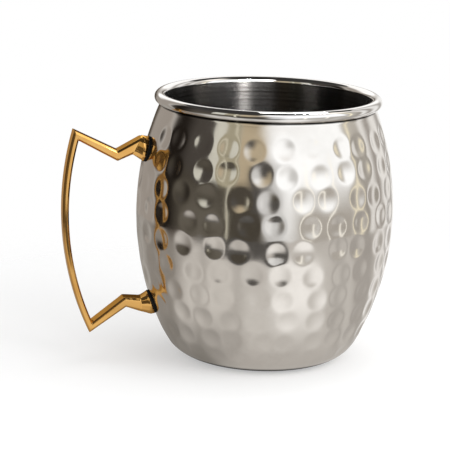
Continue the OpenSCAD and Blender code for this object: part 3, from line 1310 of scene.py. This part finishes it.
WALL_LINE = ((ROOM_R, 0.0), (ROOM_R, ROOM_H))
WALL = Backdrop("wall", WALL_LINE, Measure.HEIGHT, (0.72, 0.69, 0.65), (
    # The dim left end, the dark left half, and the cream, olive and tan stripes beside it.
    Panel(-168.0, -108.0, (0.42, 0.38, 0.34), (6.0, 5.0)),
    Panel(-104.0, -53.0, (0.085, 0.075, 0.066), (5.0, 0.4)),
    Panel(-53.0, -40.0, (0.80, 0.79, 0.70), (0.4, 0.6)),
    Panel(-40.0, -25.0, (0.47, 0.43, 0.31), (0.6, 1.5)),
    Panel(-25.0, 2.0, (0.62, 0.52, 0.36), (1.5, 4.0)),
    # The white right half.
    Panel(1.0, 79.0, (1.42, 1.46, 1.50), (13.0, 4.0)),
    # Dark low down under the stripes, a paler patch in it, the black left end, the step to the white,
    # and a thin line in the olive stripe.
    Panel(-104.0, 3.0, (0.085, 0.074, 0.058), (5.0, 9.0), high=105.0, fade=16.0),
    Panel(-70.0, -36.0, (0.15, 0.135, 0.11), (12.0, 8.0), high=70.0, fade=30.0),
    Panel(-98.0, -80.0, (0.018, 0.014, 0.011), (5.0, 10.0)),
    Panel(-13.0, 3.0, (0.10, 0.094, 0.088), (6.0, 9.0), 60.0, 150.0, 30.0),
    Panel(4.0, 15.0, (0.72, 0.72, 0.715), (9.0, 8.0), high=160.0, fade=30.0),
    Panel(-31.0, -29.0, (0.90, 0.86, 0.70), (0.6, 0.6)),
    # Grey low down in the white half, crossed by two cream lines.
    Panel(22.0, 80.0, (0.55, 0.52, 0.475), (14.0, 3.0), high=84.0, fade=52.0),
    Panel(33.5, 36.0, CREAM_LINE, (1.6, 1.6), high=140.0, fade=25.0),
    Panel(56.0, 58.5, CREAM_LINE, (1.6, 1.6), high=140.0, fade=25.0),
    # A tan band with a golden line, and the bright right end with two dark bands.
    Panel(79.0, 104.0, (0.66, 0.63, 0.575), (5.0, 4.0)),
    Panel(90.0, 104.0, (0.46, 0.435, 0.395), (5.0, 4.0), high=150.0, fade=30.0),
    Panel(83.0, 86.0, (1.25, 1.15, 0.88), (1.4, 1.4)),
    Panel(100.0, 168.0, (1.05, 1.04, 1.02), (3.0, 6.0)),
    Panel(109.0, 120.0, (0.46, 0.43, 0.40), (5.0, 5.0)),
    Panel(136.0, 149.0, (0.50, 0.475, 0.45), (6.0, 6.0)),
    # The dark top of the wall, with the white half's light and a lamp in it.
    Panel(-108.0, -4.0, (0.06, 0.055, 0.05), (6.0, 6.0), low=250.0, fade=20.0),
    Panel(PAST_LEFT, PAST_RIGHT, (0.06, 0.058, 0.055), (6.0, 6.0), low=330.0, fade=10.0),
    Panel(-4.0, 74.0, (1.2, 1.2, 1.2), (8.0, 8.0), low=240.0, fade=40.0),
    Panel(78.0, 108.0, LAMP_WHITE, (6.0, 6.0), low=300.0, fade=20.0),
    # Behind the mug, dark low down and light above it.
    *Panel(166.0, -146.0, (0.10, 0.08, 0.06), (6.0, 6.0), 30.0, 125.0, 18.0).across_back(),
    *Panel(150.0, -138.0, (1.35, 1.34, 1.32), (12.0, 12.0), 155.0, 330.0, 12.0).across_back(),
))
GROUND_LINE = ((GROUND_R, GROUND_Z), (ROOM_R, GROUND_Z))
GROUND = Backdrop("ground", GROUND_LINE, Measure.RADIUS, (0.66, 0.635, 0.60), (
    # The dim left, the light front left with two soft bands, and the dark far edge on the left.
    Panel(PAST_LEFT, -60.0, (0.34, 0.315, 0.285), (20.0, 20.0)),
    Panel(-140.0, -122.0, (0.46, 0.435, 0.40), (12.0, 12.0)),
    Panel(-66.0, -24.0, (0.76, 0.73, 0.69), (16.0, 14.0)),
    Panel(-51.0, -43.0, (0.56, 0.535, 0.50), (6.0, 6.0)),
    Panel(-21.0, -14.0, (0.58, 0.555, 0.52), (6.0, 6.0)),
    Panel(-106.0, -52.0, (0.12, 0.10, 0.085), (8.0, 5.0), low=222.0, fade=48.0),
    # The light front, the grey bands on the right, and the bright right end.
    Panel(-12.0, 4.0, (0.76, 0.735, 0.70), (10.0, 8.0)),
    Panel(8.0, 44.0, (1.18, 1.17, 1.15), (12.0, 12.0), 60.0, 170.0, 30.0),
    Panel(52.0, 76.0, (0.72, 0.695, 0.66), (12.0, 10.0)),
    Panel(59.0, 67.0, (0.54, 0.52, 0.49), (6.0, 6.0)),
    Panel(82.0, 106.0, (0.50, 0.475, 0.445), (7.0, 7.0)),
    Panel(113.0, PAST_RIGHT, (1.0, 0.98, 0.96), (7.0, 10.0)),
    Panel(126.0, 138.0, (0.58, 0.555, 0.53), (6.0, 6.0)),
    # The dark gap under the wall, which comes nearer towards the front.
    Panel(-54.0, -30.0, GAP_DARK, (6.0, 4.0), low=220.0, fade=28.0),
    Panel(-34.0, -6.0, GAP_DARK, (4.0, 4.0), low=172.0, fade=24.0),
    Panel(-10.0, 15.0, GAP_DARK, (4.0, 6.0), low=157.0, fade=22.0),
    # The mug's own shade round its foot.
    Panel(PAST_LEFT, -20.0, (0.24, 0.225, 0.205), (10.0, 20.0), high=50.0, fade=26.0),
    Panel(-20.0, PAST_RIGHT, (0.56, 0.535, 0.505), (20.0, 10.0), high=42.0, fade=18.0),
    Panel(PAST_LEFT, PAST_RIGHT, (0.04, 0.04, 0.04), (10.0, 10.0), high=29.0, fade=1.5),
))
ROOF_LINE = ((ROOF_R, ROOM_H), (ROOM_R, ROOM_H))
ROOF = Backdrop("roof", ROOF_LINE, Measure.RADIUS, (0.05, 0.048, 0.045), (
    Panel(76.0, 110.0, LAMP_WHITE, (8.0, 8.0), low=170.0, fade=20.0),
))


@dataclass
class Studio:
    """A pale floor, a white background, soft lamps, and the backdrops that the metal mirrors.

    Attributes:
        floor_r: Half the side of the floor.
        floor_fade: Distances from the mug's axis between which the floor fades away.
        floor_glow: The floor's own light, which keeps its shadows pale.
        floor_sheen: Strength of its reflections.
        world_light: Strength of the even light from all round.
    """

    camera: PhotoCamera
    floor_r: float = 400.0
    floor_fade: Point = (75.0, 240.0)
    floor_tone: Colour = (0.54, 0.54, 0.54)
    floor_glow: Colour = (0.43, 0.43, 0.43)
    floor_roughness: float = 0.9
    floor_sheen: float = 0.1
    world_light: float = 0.75
    lamps: tuple[Lamp, ...] = (
        Lamp("softbox", (230.0, 170.0, 210.0), (0.0, 0.0, 60.0), (300.0, 240.0), 0.75),
        Lamp("top_light", (60.0, -120.0, 700.0), (0.0, 0.0, 0.0), (500.0, 500.0), 1.2),
        Lamp(
            "cup_streak", (26.0, 25.0, 135.0), (-10.0, -37.0, 85.0), (11.0, 30.0), 0.16, mirrored=True
        ),
        Lamp("cup_glow", (7.0, 25.0, 135.0), (0.0, -37.0, 85.0), (24.0, 30.0), 0.02, mirrored=True),
    )
    backdrops: tuple[Backdrop, ...] = (WALL, GROUND, ROOF)

    def floor(self) -> bpy.types.Object:
        """Make the floor that the mug stands on, which fades into the white background.

        Returns:
            The floor.
        """
        half = self.floor_r * MM
        corners = [(-half, -half, 0.0), (half, -half, 0.0), (half, half, 0.0), (-half, half, 0.0)]
        mesh = bpy.data.meshes.new("floor")
        mesh.from_pydata(corners, [], [(0, 1, 2, 3)])
        material, graph = new_material("floor")
        point = graph.add("ShaderNodeTexCoord", output="Object")
        length = graph.add("ShaderNodeVectorMath", {"operation": "LENGTH"}, {0: point}, output="Value")
        near, far = self.floor_fade
        graph.surface({
            "Base Color": (*self.floor_tone, 1.0),
            "Roughness": self.floor_roughness,
            "Specular IOR Level": self.floor_sheen,
            "Emission Color": (*self.floor_glow, 1.0),
            "Emission Strength": 1.0,
            "Alpha": 1.0 - length.eased(near * MM, far * MM),
        })
        mesh.materials.append(material)
        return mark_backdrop(put_in_scene("floor", mesh))

    def background(self) -> None:
        """Light the scene evenly, and show white to the camera and in reflections."""
        world = bpy.data.worlds.new("studio")
        world.use_nodes = True
        graph = Graph(world.node_tree)
        rays = ["Is Camera Ray", "Is Glossy Ray", "Is Transmission Ray"]
        seen, mirrored, through = (graph.add("ShaderNodeLightPath", output=ray) for ray in rays)
        shown = (seen + mirrored + through).at_most(1.0)
        level = self.world_light + (1.0 - self.world_light) * shown
        sockets = {"Color": (1.0, 1.0, 1.0, 1.0), "Strength": level}
        graph.close("ShaderNodeOutputWorld", graph.add("ShaderNodeBackground", None, sockets))
        bpy.context.scene.world = world

    def build(self) -> None:
        """Set up the whole studio."""
        self.floor()
        self.background()
        for item in (*self.lamps, *self.backdrops):
            item.build(self.camera)


def write_sizes() -> None:
    """Turn the solids' box and the dressed model's box into plain lists of metres, which are then
    dropped.
    """
    boxes = {"cad": CAD_BOX, "visual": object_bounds()}
    {name: [list(corner) for corner in box] for name, box in boxes.items()}


def main() -> None:
    """Build the camera, the mug piece by piece, and the studio round it."""
    logging.basicConfig(level=logging.INFO)
    bpy.context.scene.view_settings.view_transform = "Standard"
    camera = PhotoCamera()
    camera.build()
    barrel = Barrel()
    handle = Handle(barrel)
    shell = HammeredShell(barrel, [handle.upper_foot, handle.lower_foot])
    for sub_assembly in (shell, Liner(barrel), handle):
        piece = sub_assembly.build()
        LOG.info("%s: %d faces", piece.name, len(piece.data.polygons))
    for node in Fixings().dress():
        LOG.info("%s: kept as packed, with a new finish", node.name)
    Studio(camera).build()
    write_sizes()


if __name__ == "__main__":
    main()
